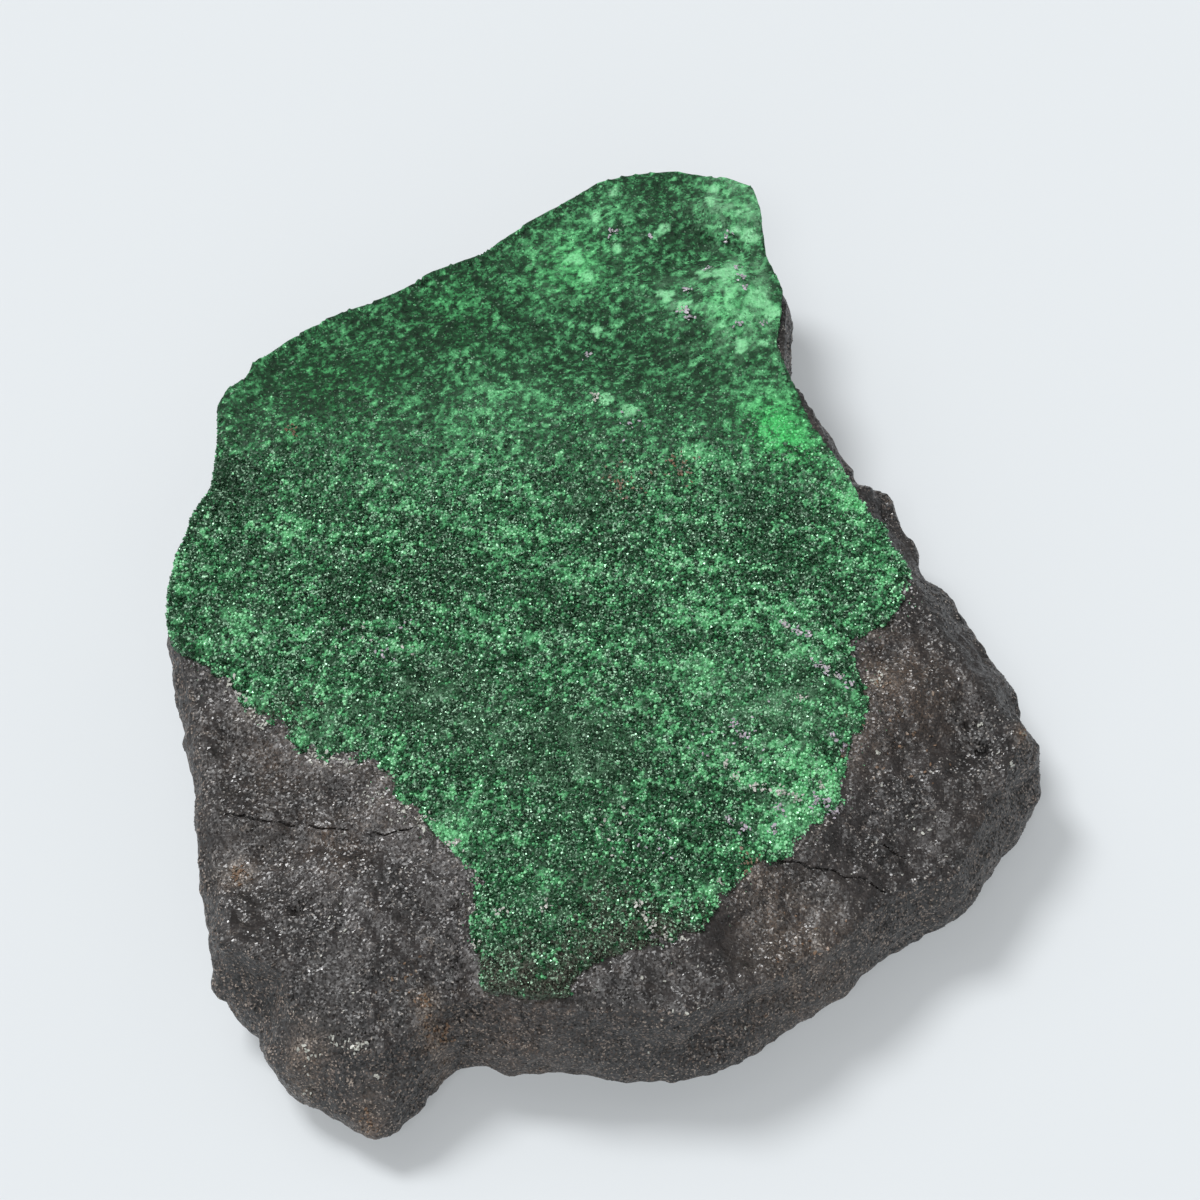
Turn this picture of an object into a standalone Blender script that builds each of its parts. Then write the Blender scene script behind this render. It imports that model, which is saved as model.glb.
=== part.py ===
"""Uvarovite: a crust of tiny emerald-green garnets grown on a broken slab of chromite rock.

The slab lies on its flat underside with the crust up. +Z is up, and +Y runs along the slab towards its
narrow end. The origin is under the middle of the slab, at its lowest plane. Lengths are in millimetres until
the meshes are finished.
"""
import math

import bmesh
import bpy
from mathutils import Vector, geometry, noise

MM = 0.001
MERGE = 0.0001           # corners this close are one
FACE_HEIGHT = 12.0       # the crust's face above the surface that the slab lies on
CRUST_THICKNESS = 0.9    # tips of the crystals above their roots, away from the crust's edges
CRUST_EDGE = 0.45        # the same where the crust thins out on bare rock
CRUST_TAPER = 3.5        # width over which it thins out
GAP = 0.3                # clearance between the crust's underside and the rock
WALL_BANDS = 6           # rows of facets down the slab's broken sides
ROCK_FACET = 1.8         # size of the facets on the rock's upper face and sides
BASE_FACET = 2.6         # the same on its underside
CRUST_FACET = 1.55       # the same on the crust
FACET_SCATTER = 0.6      # how far a facet's corner strays from its row, as a share of the facet
EDGE_MARGIN = 0.6        # how far it stays from the edge, as a share of the facet
FOOT_HEIGHT = 1.3        # where the sides turn under, above the lowest plane
FOOT_TUCK = 1.9          # how far the sides draw in below their widest line
LIE_WIDTH = 5.0          # the underside curves up over this width along its edge
CALM_UNDERSIDE = 7.0     # the underside is plain this far around the slab's middle
DRY_UNDERSIDE = 0.22     # its hollows start this far up in its bumps, so that most of it stays flat

# Random relief of each surface, as bumps of a height and a width.
FACE_WAVE = ((0.3, 11.0),)
CRUST_BUMPS = ((0.3, 3.2), (0.18, 1.7))
ROCK_BUMPS = ((0.55, 4.6), (0.4, 2.6))
SIDE_BUMPS = ((1.1, 5.5), (0.5, 2.4))
FOOT_BUMPS = ((0.5, 6.0),)
HOLLOWS = ((1.2, 9.0), (0.4, 3.5))
SIDE_STEP = 0.33         # depth of the steps between layers in the sides
SIDE_STEP_WIDTH = 9.0    # and their length
SIDE_STEP_FLATNESS = 2.4 # they lie this much flatter than they are long
SMOOTH_BESIDE_CRUST = (0.6, 2.4)  # bare rock turns from smooth to broken between these distances

# The slab's widest line seen from above, clockwise from the far end: x, y, its height, and how far
# inside it the rim of the upper face lies.
OUTLINE = (
    (0.0, 36.4, 10.0, 0.4), (3.0, 37.2, 10.0, 0.4), (5.4, 37.6, 10.0, 0.4), (9.0, 36.9, 10.0, 0.4),
    (11.0, 36.0, 9.8, 0.4), (11.5, 33.8, 9.5, 0.4), (11.8, 30.2, 9.5, 0.4), (12.5, 28.2, 9.4, 0.5),
    (13.5, 26.0, 9.2, 0.8), (13.9, 23.4, 9.0, 1.1), (13.7, 20.6, 8.6, 0.8), (14.6, 18.9, 8.2, 0.9),
    (16.2, 17.0, 7.6, 1.9), (18.1, 15.0, 7.2, 2.9), (18.7, 12.4, 7.0, 2.8), (20.2, 8.7, 7.0, 2.6),
    (21.9, 5.1, 7.0, 2.5), (23.5, 3.1, 7.0, 2.7), (26.1, -1.4, 6.6, 2.8), (27.6, -3.9, 6.2, 2.7),
    (28.4, -6.5, 5.8, 2.4), (29.4, -8.2, 5.0, 1.9), (28.8, -9.9, 4.2, 1.6), (28.1, -12.0, 3.6, 1.4),
    (27.8, -13.5, 3.2, 1.2), (26.3, -14.8, 3.0, 1.1), (24.8, -17.8, 3.0, 1.1), (23.9, -19.2, 3.0, 1.1),
    (22.7, -20.1, 3.0, 1.1), (19.2, -22.0, 3.0, 1.1), (17.4, -23.1, 3.0, 1.1), (15.4, -25.0, 3.0, 1.0),
    (11.8, -27.6, 3.0, 1.0), (8.7, -29.8, 3.0, 1.0), (5.5, -30.9, 3.0, 1.0), (0.0, -31.0, 3.0, 1.0),
    (-5.2, -30.5, 3.0, 1.0), (-8.8, -30.2, 3.0, 1.1), (-9.5, -31.0, 3.0, 1.4), (-10.6, -32.8, 3.0, 2.1),
    (-12.6, -34.8, 3.0, 2.8), (-14.1, -35.3, 3.0, 3.0), (-15.9, -34.6, 3.0, 2.9), (-19.6, -32.3, 3.0, 2.6),
    (-20.8, -30.7, 3.0, 2.2), (-21.7, -28.1, 3.2, 1.6), (-23.0, -27.0, 3.6, 1.3), (-24.8, -25.4, 4.6, 1.0),
    (-24.7, -23.6, 6.6, 0.8), (-25.0, -19.9, 8.2, 0.7), (-25.6, -16.0, 8.6, 0.7), (-26.4, -11.6, 8.8, 0.7),
    (-27.1, -8.2, 9.0, 0.6), (-28.3, -4.5, 9.4, 0.5), (-29.0, 0.0, 9.6, 0.5), (-28.7, 4.2, 9.6, 0.5),
    (-27.7, 8.0, 9.6, 0.5), (-26.6, 9.8, 9.6, 0.5), (-26.2, 14.6, 9.8, 0.5), (-26.3, 16.8, 9.8, 0.5),
    (-25.6, 18.2, 10.0, 0.4), (-24.4, 19.1, 10.0, 0.4), (-24.1, 20.4, 10.0, 0.4), (-21.5, 22.6, 10.0, 0.4),
    (-17.7, 24.7, 10.0, 0.4), (-14.7, 26.0, 10.0, 0.4), (-11.7, 28.0, 10.0, 0.4), (-8.2, 29.5, 10.0, 0.4),
    (-6.8, 31.0, 10.0, 0.4), (-4.8, 32.7, 10.0, 0.4), (-2.4, 34.5, 10.0, 0.4),
)

# The crust's edge seen from above, clockwise: along the slab's rim first, then over the bare rock.
CRUST_OUTLINE = (
    (-28.2, -3.3), (-28.7, -1.0), (-28.7, 1.0), (-28.3, 3.9), (-27.4, 7.2), (-26.3, 9.4), (-26.0, 13.2),
    (-26.1, 16.3), (-25.4, 17.9), (-24.2, 18.9), (-23.8, 20.4), (-21.4, 22.4), (-17.6, 24.5), (-14.6, 25.8),
    (-11.6, 27.8), (-8.1, 29.3), (-6.7, 30.8), (-4.7, 32.5), (-2.3, 34.3), (0.1, 36.2), (3.0, 37.0),
    (5.4, 37.4), (8.9, 36.7), (10.8, 35.8), (11.3, 33.7), (11.6, 30.0), (12.2, 28.0), (12.8, 26.4),
    (12.9, 24.4), (12.3, 22.0), (12.7, 20.0), (13.9, 16.9), (15.0, 14.7), (16.5, 12.0), (16.8, 10.0),
    (18.1, 7.7), (19.1, 6.5), (19.5, 5.0), (20.3, 4.2), (20.9, 2.6), (20.4, 1.2), (19.2, -1.1),
    (17.9, -2.1), (16.8, -2.8), (16.7, -4.7), (17.5, -6.6), (17.6, -9.2), (16.2, -10.9), (15.8, -13.4),
    (15.8, -15.2), (14.3, -17.2), (12.1, -19.1), (9.9, -20.1), (7.9, -22.2), (7.1, -23.6), (6.3, -24.9),
    (4.3, -25.8), (2.2, -26.7), (0.0, -28.0), (-2.4, -29.3), (-5.0, -29.3), (-7.3, -28.8), (-7.8, -26.8),
    (-8.2, -24.3), (-7.9, -22.4), (-8.3, -20.5), (-10.3, -17.9), (-11.7, -16.2), (-14.0, -14.2),
    (-14.8, -12.1), (-16.8, -12.4), (-19.5, -11.2), (-21.2, -9.7), (-22.9, -8.4), (-24.5, -5.9),
    (-26.8, -4.1),
)

# Broad swells (+) and hollows (-) of the upper face: x, y, reach along x, reach along y, height.
SWELLS = (
    (9.8, 25.0, 4.5, 4.5, 0.8), (9.4, 33.6, 4.0, 3.5, 0.6), (1.0, 33.5, 4.5, 4.0, 0.4),
    (6.8, 30.0, 6.0, 2.2, -0.8), (-2.0, 20.5, 10.0, 3.5, -0.5), (-22.0, 21.0, 4.0, 3.5, -0.8),
    (11.0, 8.5, 5.0, 3.0, -0.4), (-6.0, 4.0, 12.0, 6.0, 0.4), (4.0, -12.0, 9.0, 8.0, 0.3),
    (-20.0, 2.0, 5.0, 8.0, -0.3), (-23.0, -17.0, 6.0, 8.0, -1.1), (-15.5, -22.0, 4.0, 5.0, 0.4),
    (-16.0, -32.0, 8.0, 5.0, -1.7), (-9.3, -31.0, 1.9, 4.5, -1.1), (1.0, -31.0, 9.0, 3.5, -0.7),
    (27.0, -7.0, 6.0, 8.0, -1.2), (23.5, -21.0, 8.5, 7.0, -3.2), (13.0, -25.5, 5.0, 4.0, -0.7),
    (20.5, -8.5, 3.0, 5.0, 0.4), (23.8, -9.9, 1.7, 1.7, -0.8), (19.6, -21.6, 1.9, 1.7, -0.6),
)

# Low steps where the bare rock broke along a crack: from x, y to x, y, and the drop on the near side.
LEDGES = (
    (-25.5, -16.2, -10.5, -17.6, 0.5), (10.0, -19.6, 21.0, -23.0, 0.6), (-21.0, -29.0, -12.5, -30.4, 0.5),
)
LEDGE_SLOPE = 0.9        # width over which such a step drops
LEDGE_FADE = 3.0         # length over which it dies out at its ends
LEDGE_WANDER = ((0.8, 3.0),)  # how far a crack strays from its straight line


def ripple(x, y, z, size):
    """A smooth random value from -1 to 1 that changes over about this many millimetres."""
    return noise.noise(Vector((x, y, z)) / size + Vector((3.7, 1.9, 8.3)))


def ease(value, start, end):
    """0 before start, 1 after end, and a smooth step between them."""
    share = min(1.0, max(0.0, (value - start) / (end - start)))
    return share * share * (3.0 - 2.0 * share)


def relief(x, y, z, bumps):
    """Random bumps of several sizes, added up."""
    return sum(height * ripple(x, y, z, width) for height, width in bumps)


def swell(x, y):
    """The height that the broad swells and hollows and a gentle waviness give at this place."""
    height = relief(x, y, 0.0, FACE_WAVE)
    for centre_x, centre_y, reach_x, reach_y, rise in SWELLS:
        far = ((x - centre_x) / reach_x) ** 2 + ((y - centre_y) / reach_y) ** 2
        height += rise * math.exp(-far)
    return height


def even_steps(points, step):
    """The closed outline again, as points a step apart with their values in between."""
    walk = []
    for start, end in zip(points, points[1:] + points[:1]):
        length = math.dist(start[:2], end[:2])
        parts = max(1, round(length / step))
        for part in range(parts):
            share = part / parts
            walk.append(tuple(a + (b - a) * share for a, b in zip(start, end)))
    return walk


def outward(points, index):
    """The level direction that points away from a clockwise outline at one of its points."""
    before = points[index - 2]
    after = points[(index + 2) % len(points)]
    return Vector((before[1] - after[1], after[0] - before[0])).normalized()


def inside_by(x, y, points):
    """How far a place lies inside a closed outline, negative if it is outside."""
    place = Vector((x, y))
    nearest = math.inf
    inside = False
    for start, end in zip(points, points[1:] + points[:1]):
        a = Vector(start[:2])
        b = Vector(end[:2])
        foot, share = geometry.intersect_point_line(place, a, b)
        foot = a.lerp(b, min(1.0, max(0.0, share)))
        nearest = min(nearest, (place - foot).length)
        if (a.y > y) != (b.y > y) and x < a.x + (b.x - a.x) * (y - a.y) / (b.y - a.y):
            inside = not inside
    return nearest if inside else -nearest


def ledge_drop(x, y):
    """How far the low steps beside the cracks set this place down."""
    drop = 0.0
    for start_x, start_y, end_x, end_y, fall in LEDGES:
        along = Vector((end_x - start_x, end_y - start_y))
        place = Vector((x - start_x, y - start_y))
        run = place.dot(along.normalized())
        beyond = max(-run, run - along.length, 0.0)
        side = (along.x * place.y - along.y * place.x) / along.length + relief(x, y, 0.0, LEDGE_WANDER)
        depth = ease(-side, 0.0, LEDGE_SLOPE) - ease(-side, LEDGE_FADE, 3.0 * LEDGE_FADE)
        drop += fall * depth * (1.0 - ease(beyond, 0.0, LEDGE_FADE))
    return drop


def rock_top(x, y):
    """The height of the rock's upper face: smooth under the crust, broken where it is bare."""
    height = FACE_HEIGHT - CRUST_THICKNESS - GAP + swell(x, y)
    bare = ease(-inside_by(x, y, CRUST_OUTLINE), *SMOOTH_BESIDE_CRUST)
    if bare > 0.0:
        height += bare * (relief(x, y, FACE_HEIGHT, ROCK_BUMPS) - ledge_drop(x, y))
    return height


def rock_side(row, band, walk):
    """One point of the slab's side: row counts along the outline, band down from the rim."""
    x, y, widest, inset = walk[row]
    away = outward(walk, row)
    rim = rock_top(x - away.x * inset, y - away.y * inset)
    foot = FOOT_HEIGHT + relief(x, y, 0.0, FOOT_BUMPS)
    down = band / WALL_BANDS
    height = rim + (foot - rim) * down
    if height > widest:
        tuck = inset * ((height - widest) / (rim - widest)) ** 1.2
    else:
        tuck = FOOT_TUCK * ((widest - height) / (widest - foot)) ** 1.8
    layer = ripple(x, y, height * SIDE_STEP_FLATNESS, SIDE_STEP_WIDTH)
    step = SIDE_STEP * math.copysign(ease(abs(layer), 0.03, 0.15), layer)
    fade = math.sin(math.pi * min(1.0, 0.1 + down))
    push = (relief(x, y, height, SIDE_BUMPS) + step) * fade - tuck
    return Vector((x + away.x * push, y + away.y * push, height))


def underside(x, y, rim_points):
    """The height of the slab's underside: flat in the middle, with hollows, and raised at its edge."""
    edge = 1.0 - ease(inside_by(x, y, rim_points), 0.0, LIE_WIDTH)
    rough = ease(math.hypot(x, y), CALM_UNDERSIDE, 2.0 * CALM_UNDERSIDE)
    hollow = relief(x, y, 0.0, HOLLOWS) - DRY_UNDERSIDE
    return max(0.0, FOOT_HEIGHT * edge + rough * hollow)


def scattered(points, step, seed):
    """Places inside a closed outline, about a step apart, in staggered rows moved a little at random."""
    xs = [point[0] for point in points]
    ys = [point[1] for point in points]
    row_step = step * math.sqrt(0.75)
    places = []
    for row in range(int((max(ys) - min(ys)) / row_step) + 1):
        for column in range(int((max(xs) - min(xs)) / step) + 1):
            shift = (noise.cell_vector((column, row, seed)) - Vector((0.5, 0.5, 0.5))) * FACET_SCATTER
            x = min(xs) + (column + 0.5 * (row % 2) + shift.x) * step
            y = min(ys) + row * row_step + shift.y * step
            if inside_by(x, y, points) > EDGE_MARGIN * step:
                places.append((x, y))
    return places


def cap(bm, ring, places, height_at, upwards):
    """Closes a ring of vertices with facets over the places inside it."""
    flat = [vertex.co.xy for vertex in ring] + [Vector(place) for place in places]
    corners = list(ring) + [bm.verts.new((*place, height_at(*place))) for place in places]
    edges = [(index, (index + 1) % len(ring)) for index in range(len(ring))]
    inside_only = 1
    _, _, facets, sources, _, _ = geometry.delaunay_2d_cdt(flat, edges, [], inside_only, MERGE)
    for facet in facets:
        around = [corners[sources[index][0]] for index in facet]
        bm.faces.new(around if upwards else around[::-1])


def band_between(bm, upper, lower):
    """Joins two rings of vertices, both clockwise seen from above, with outward facets."""
    for index in range(len(upper)):
        after = (index + 1) % len(upper)
        bm.faces.new((upper[index], upper[after], lower[after], lower[index]))


def finish(bm, name, colour, roughness, middle):
    """Makes the named object: triangles only, centred on the slab, in metres, with its material."""
    bmesh.ops.triangulate(bm, faces=bm.faces[:], quad_method="SHORT_EDGE")
    bmesh.ops.recalc_face_normals(bm, faces=bm.faces[:])
    bmesh.ops.translate(bm, verts=bm.verts[:], vec=-middle)
    bmesh.ops.scale(bm, verts=bm.verts[:], vec=(MM, MM, MM))
    mesh = bpy.data.meshes.new(name)
    bm.to_mesh(mesh)
    bm.free()
    material = bpy.data.materials.new(name)
    material.use_nodes = True
    shader = material.node_tree.nodes["Principled BSDF"]
    shader.inputs["Base Color"].default_value = (*colour, 1.0)
    shader.inputs["Roughness"].default_value = roughness
    shader.inputs["Metallic"].default_value = 0.0
    mesh.materials.append(material)
    body = bpy.data.objects.new(name, mesh)
    bpy.context.scene.collection.objects.link(body)
    return body


def rock_mesh():
    """The slab of chromite rock: upper face, broken sides and underside in one closed skin."""
    walk = even_steps(OUTLINE, ROCK_FACET)
    bm = bmesh.new()
    rings = []
    for band in range(WALL_BANDS + 1):
        rings.append([bm.verts.new(rock_side(row, band, walk)) for row in range(len(walk))])
    for upper, lower in zip(rings, rings[1:]):
        band_between(bm, upper, lower)
    rim = [tuple(vertex.co.xy) for vertex in rings[0]]
    foot = [tuple(vertex.co.xy) for vertex in rings[-1]]
    cap(bm, rings[0], scattered(rim, ROCK_FACET, 1.0), rock_top, True)
    cap(bm, rings[-1], scattered(foot, BASE_FACET, 2.0), lambda x, y: underside(x, y, foot), False)
    return bm


def crust_root(x, y):
    """The height of the crust's underside."""
    return rock_top(x, y) + GAP


def crust_tip(x, y):
    """The height of the crust's tips: full along the slab's rim, thinner where it ends on bare rock."""
    on_rock = ease(inside_by(x, y, [point[:2] for point in OUTLINE]), 0.8, 2.0)
    thin = on_rock * (1.0 - ease(inside_by(x, y, CRUST_OUTLINE), 0.0, CRUST_TAPER))
    thickness = CRUST_THICKNESS + (CRUST_EDGE - CRUST_THICKNESS) * thin
    return crust_root(x, y) + thickness + relief(x, y, FACE_HEIGHT, CRUST_BUMPS)


def crust_mesh():
    """The garnet crust: a bumpy skin that follows the rock a gap above it."""
    walk = even_steps(CRUST_OUTLINE, CRUST_FACET)
    places = scattered(walk, CRUST_FACET, 3.0)
    bm = bmesh.new()
    upper = [bm.verts.new((x, y, crust_tip(x, y))) for x, y in walk]
    lower = [bm.verts.new((x, y, crust_root(x, y))) for x, y in walk]
    band_between(bm, upper, lower)
    cap(bm, upper, places, crust_tip, True)
    cap(bm, lower, places, crust_root, False)
    return bm


def middle_below(meshes):
    """The point under the middle of all the meshes together, at their lowest height."""
    places = [vertex.co for bm in meshes for vertex in bm.verts]
    lows = [min(place[axis] for place in places) for axis in range(3)]
    highs = [max(place[axis] for place in places) for axis in range(3)]
    return Vector(((lows[0] + highs[0]) / 2.0, (lows[1] + highs[1]) / 2.0, lows[2]))


def build():
    for old in list(bpy.data.objects):
        bpy.data.objects.remove(old, do_unlink=True)
    rock = rock_mesh()
    crust = crust_mesh()
    middle = middle_below((rock, crust))
    finish(rock, "chromite_matrix", (0.072, 0.066, 0.064), 0.55, middle)
    finish(crust, "uvarovite_crust", (0.045, 0.2, 0.075), 0.35, middle)


build()
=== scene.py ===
import math

import bmesh
import bpy
import numpy as np
from mathutils import Matrix, Vector, kdtree, noise
from mathutils.bvhtree import BVHTree


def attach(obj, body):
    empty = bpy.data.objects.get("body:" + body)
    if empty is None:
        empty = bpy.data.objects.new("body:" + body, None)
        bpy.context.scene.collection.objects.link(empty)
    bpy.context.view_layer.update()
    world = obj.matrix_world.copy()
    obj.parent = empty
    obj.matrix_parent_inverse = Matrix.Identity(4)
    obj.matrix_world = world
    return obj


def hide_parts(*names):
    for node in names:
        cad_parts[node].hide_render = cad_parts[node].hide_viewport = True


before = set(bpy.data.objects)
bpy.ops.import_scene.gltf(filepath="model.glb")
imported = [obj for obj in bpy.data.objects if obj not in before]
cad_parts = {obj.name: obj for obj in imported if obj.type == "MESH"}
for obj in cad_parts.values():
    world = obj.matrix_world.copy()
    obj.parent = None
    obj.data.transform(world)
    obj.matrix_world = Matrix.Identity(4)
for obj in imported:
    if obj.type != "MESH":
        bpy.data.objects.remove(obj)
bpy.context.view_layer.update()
MM = 0.001

# The rock: a hand-sized slab of massive chromite, broken out of its seam with a hammer.
# It is a fine net grown over the CAD solid and roughened with lumps, grains, pits and two
# cracks; the flat it lies on stays flat. Everything else sits on it as it grew there.

ROCK_NET = 0.31 * MM
ROCK_LUMPS = [(4.2, 0.18), (1.9, 0.16), (0.9, 0.2)]   # size and height in mm, as in the next two
SIDE_LUMPS = (2.4, 0.28)
ROCK_GRAIN = (0.7, 0.12)
SIDE_GROWTH = 0.12         # mm that the smoothing takes off the sides, put back
PUSHES = [                 # x, y, radius and how far the side is moved out, all in mm
    (29.0, -11.3, 1.7, 0.85), (28.2, -7.2, 2.2, -0.55), (28.0, -16.0, 3.0, -0.3), (20.6, 6.6, 2.4, 0.35),
    (26.5, -2.0, 3.0, 0.25), (-28.2, -17.0, 7.0, 0.15), (-25.5, -27.5, 3.0, 0.4), (-10.0, -33.5, 2.6, -0.5),
    (-19.0, 21.5, 7.0, 0.5), (-7.0, 29.0, 7.0, 0.45), (1.5, 35.5, 4.0, 0.2), (2.0, -33.5, 6.0, 0.2),
    (16.8, 12.4, 2.0, -0.9), (16.6, 14.7, 1.5, -0.75), (18.8, 9.9, 1.7, 1.2), (21.7, 4.7, 1.3, -0.35),
    (23.2, 2.4, 1.2, 0.4), (13.9, 22.8, 2.0, -0.65),
]
CALM_ABOVE_FLOOR = 1.2 * MM
UNDER_CRUST = 0.3 * MM     # the rock fills the clearance that the CAD solids keep
BESIDE_CRUST = 2.2 * MM
CRACK_WIDTH = 0.07 * MM
CRACK_DEPTH = 0.16 * MM
CRACKS = [   # the points that each one runs through, in mm
    [(-24.2, -16.7), (-22.6, -16.9), (-21.1, -17.1), (-19.6, -17.5)],
    [(-18.7, -17.7), (-17.3, -18.0), (-16.0, -18.2)],
    [(-14.4, -18.3), (-13.3, -18.4), (-12.0, -18.4)],
    [(11.6, -20.4), (12.9, -20.7), (14.2, -20.8), (15.6, -20.9), (17.0, -21.1), (18.4, -21.7)],
    [(18.3, -18.4), (19.8, -19.1)],
]
PITS = [   # x, y and radius in mm
    (24.4, -9.3, 0.4), (25.1, -11.0, 0.35), (19.9, -22.6, 0.4), (-19.4, -23.8, 0.35), (-9.2, -24.0, 0.3),
]
PIT_DEPTH = 0.5 * MM
DUST = 0.2                 # share of pale dust on the rock beside the crust
DUST_REACH = 0.9 * MM
GRAIN_CELL = 0.14 * MM     # the broken grains and the flecks that the material draws
FLECK_CELL = 0.1 * MM
# The dark column is partly the rock's own darker patches and partly painted shade, as in the wide patch on
# the left flank at -21.5, -14.0.
STAINS_AND_SHADE = [   # x, y, radius in mm, then how warm, how pale and how dark
    (20.0, -7.5, 3.2, 0.8, 0.0, 0.1), (18.4, -6.9, 1.2, 0.7, 0.6, 0.0), (12.5, -25.7, 3.4, 0.5, 0.3, 0.0),
    (24.8, -10.4, 1.3, 0.0, 0.0, 0.7), (-23.2, -20.6, 1.1, 0.9, 0.9, 0.0),
    (-10.9, -30.2, 0.8, 0.7, 0.9, 0.0), (-10.5, -31.6, 0.8, 0.7, 0.9, 0.0),
    (-13.0, -16.9, 2.4, 0.2, 0.4, 0.0), (-17.4, -29.0, 2.4, 0, 0, 0.4), (9.6, -21.0, 1.2, 0.9, 0.5, 0.0),
    (16.5, -12.0, 2.0, 0.4, 0.2, 0.0), (-20.8, -12.6, 1.8, 0.7, 0.0, 0.1),
    (-17.3, -19.5, 2.0, 0.6, 0.0, 0.1), (2.0, -28.9, 2.2, 0.2, 0.0, 0.8),
    (27.8, -10.0, 0.6, 0.9, 0.9, 0.0), (-14.6, -35.8, 1.0, 0.9, 0.5, 0.0),
    (-18.4, -32.6, 1.2, 0.5, 0.8, 0.0), (-5.0, -31.7, 3.0, 0.6, 0.0, 0.1),
    (10.2, -23.2, 2.0, 0.6, 0.0, 0.2), (-23.3, -9.4, 0.8, 0.1, 0.8, 0.0),
    (-18.0, -13.2, 0.8, 0.1, 0.6, 0.0), (26.0, -17.0, 3.0, 0.2, 0.0, 0.35),
    (-1.5, -30.6, 1.6, 0.1, 0.0, 0.6), (18.6, -3.4, 1.6, 0.5, 0.0, 0.3), (5.6, -27.6, 1.2, 0.2, 0.0, 0.5),
    (2.0, -27.8, 3.0, 0.0, -0.6, 0.45), (-21.5, -14.0, 6.0, 0.2, 0.0, 0.36),
    (-13.4, -17.6, 2.4, 0.1, -0.3, 0.2), (18.6, 2.5, 3.0, 0.1, 0.0, 0.3),
    (-25.0, -9.5, 3.0, 0.1, 0.0, 0.25),
]


def net_over(node_name, piece_name, spacing):
    """A new piece in the shape of a CAD node, as an even net of small squares."""
    merged = bmesh.new()
    merged.from_mesh(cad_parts[node_name].data)
    bmesh.ops.remove_doubles(merged, verts=merged.verts, dist=0.01 * MM)
    piece = bpy.data.objects.new(piece_name, bpy.data.meshes.new(piece_name))
    merged.to_mesh(piece.data)
    merged.free()
    bpy.context.scene.collection.objects.link(piece)
    net = piece.modifiers.new("net", "REMESH")
    net.mode = "VOXEL"
    net.voxel_size = spacing
    finished = piece.evaluated_get(bpy.context.evaluated_depsgraph_get())
    piece.data = bpy.data.meshes.new_from_object(finished)
    piece.modifiers.clear()
    return piece


def refine(piece, chosen, smoothing):
    """Smooths a net, then cuts the squares round the chosen corners into sixteen."""
    net = bmesh.new()
    net.from_mesh(piece.data)
    for _ in range(smoothing):
        bmesh.ops.smooth_vert(net, verts=net.verts, factor=0.5,
                              use_axis_x=True, use_axis_y=True, use_axis_z=True)
    net.verts.ensure_lookup_table()
    picked = {net.verts[index] for index in np.flatnonzero(chosen)}
    edges = [edge for edge in net.edges if edge.verts[0] in picked and edge.verts[1] in picked]
    bmesh.ops.subdivide_edges(net, edges=edges, cuts=3, use_grid_fill=True)
    net.to_mesh(piece.data)
    net.free()


def corners(mesh):
    """The places and outward directions of a mesh's corners, one row each."""
    places = np.empty(len(mesh.vertices) * 3, dtype=np.float32)
    outward = np.empty(len(mesh.vertices) * 3, dtype=np.float32)
    mesh.vertices.foreach_get("co", places)
    mesh.vertex_normals.foreach_get("vector", outward)
    return places.reshape(-1, 3).astype(float), outward.reshape(-1, 3).astype(float)


def waves(places, size, seed):
    """Smooth noise round zero at each place, with lumps of the given size in millimetres."""
    scaled = places / (size * MM) + seed * 17.31
    return np.array([noise.noise(place) for place in scaled.tolist()])


def cells(places, size, seed):
    """How near each place is to the middle of its own grain: 1 in the middle, 0 at the border."""
    scaled = places / (size * MM) + seed * 11.7
    return np.array([1.0 - min(noise.voronoi(place)[0][0], 1.0) for place in scaled.tolist()])


def fade(value, start, end):
    """Goes smoothly from 0 where value is start to 1 where it is end."""
    part = np.clip((value - start) / (end - start), 0.0, 1.0)
    return part * part * (3.0 - 2.0 * part)


def away_from(places, line):
    """The plan distance from each place to a line through points in millimetres."""
    nearest = np.full(len(places), np.inf)
    for start, end in zip(np.array(line) * MM, np.array(line)[1:] * MM):
        run = end - start
        along = np.clip((places[:, :2] - start) @ run / (run @ run), 0.0, 1.0)
        nearest = np.minimum(nearest, np.linalg.norm(places[:, :2] - start - along[:, None] * run, axis=1))
    return nearest


def spot(places, x, y, radius):
    """A soft round patch in plan: 1 in its middle, fading with the radius in millimetres."""
    return np.exp(-((places[:, 0] / MM - x) ** 2 + (places[:, 1] / MM - y) ** 2) / radius ** 2)


def crack_at(places, outward):
    """How deep in a crack each place is: 1 at the bottom."""
    wander = places.copy()
    wander[:, 0] += 0.16 * MM * waves(places, 0.9, 41)
    wander[:, 1] += 0.4 * MM * waves(places, 1.1, 42)
    nearest = np.min([away_from(wander, line) for line in CRACKS], axis=0)
    return (1.0 - fade(nearest, 0.2 * CRACK_WIDTH, CRACK_WIDTH)) * (outward[:, 2] > 0.4)


def pushed(places):
    """How far the side of the stone is moved out at each place, in millimetres."""
    return sum(push * spot(places, x, y, radius) for x, y, radius, push in PUSHES)


def store(mesh, name, values):
    """Keeps one number for each corner, which the material reads by name."""
    mesh.attributes.new(name=name, type="FLOAT", domain="POINT").data.foreach_set(
        "value", np.asarray(values, dtype=np.float32))


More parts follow.
